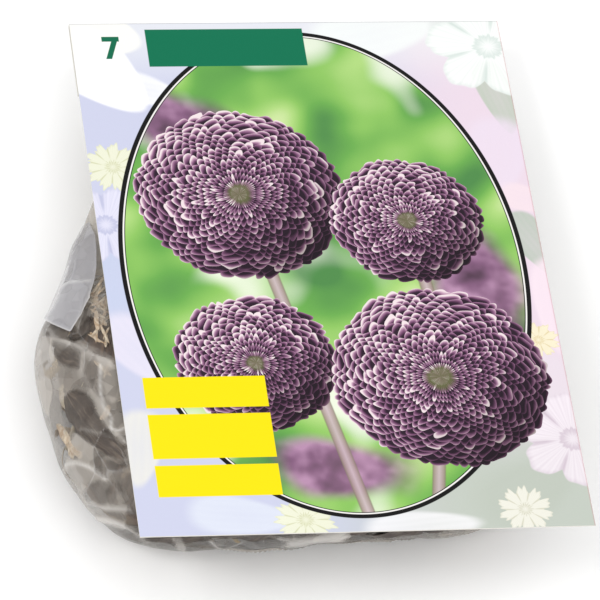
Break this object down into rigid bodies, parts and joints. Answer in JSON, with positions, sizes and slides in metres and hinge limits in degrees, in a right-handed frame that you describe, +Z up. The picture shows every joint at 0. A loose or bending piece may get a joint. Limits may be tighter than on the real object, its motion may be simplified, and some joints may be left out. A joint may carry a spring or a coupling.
{
  "type": "flower bulb packet",
  "caption": "Stiff printed card, folded over at its top edge, with a clear film bag of flower bulbs and wood shavings hanging behind it, lying on its back.",
  "frame": {"origin": "middle of the packet's outline, on the surface that it lies on", "axes": "+X along the card's width to the right as the print is read, +Y towards the card's folded top edge, +Z up; the card's face looks up and 8 degrees towards +Y"},
  "size_m": [0.1756, 0.2078, 0.0542],
  "materials": {
    "card": "gloss",
    "film": "gloss",
    "glue": "satin",
    "bulb_skin": "matte",
    "shaving": "matte"
  },
  "bodies": {
    "root": {"printed_card": "card", "film_bag": "film", "glue_strip_front": "glue", "glue_strip_back": "glue", "bulb_1": "bulb_skin", "bulb_2": "bulb_skin", "bulb_3": "bulb_skin", "bulb_4": "bulb_skin", "bulb_5": "bulb_skin", "bulb_6": "bulb_skin", "bulb_7": "bulb_skin", "shaving_1": "shaving", "shaving_2": "shaving", "shaving_3": "shaving", "shaving_4": "shaving", "shaving_5": "shaving", "shaving_6": "shaving", "shaving_7": "shaving", "shaving_8": "shaving", "shaving_9": "shaving", "shaving_10": "shaving", "shaving_11": "shaving", "shaving_12": "shaving", "shaving_13": "shaving", "shaving_14": "shaving", "shaving_15": "shaving", "shaving_16": "shaving", "shaving_17": "shaving", "shaving_18": "shaving", "shaving_19": "shaving", "shaving_20": "shaving", "shaving_21": "shaving", "shaving_22": "shaving", "shaving_23": "shaving", "shaving_24": "shaving", "shaving_25": "shaving", "shaving_26": "shaving", "shaving_27": "shaving", "shaving_28": "shaving"}
  },
  "joints": []
}
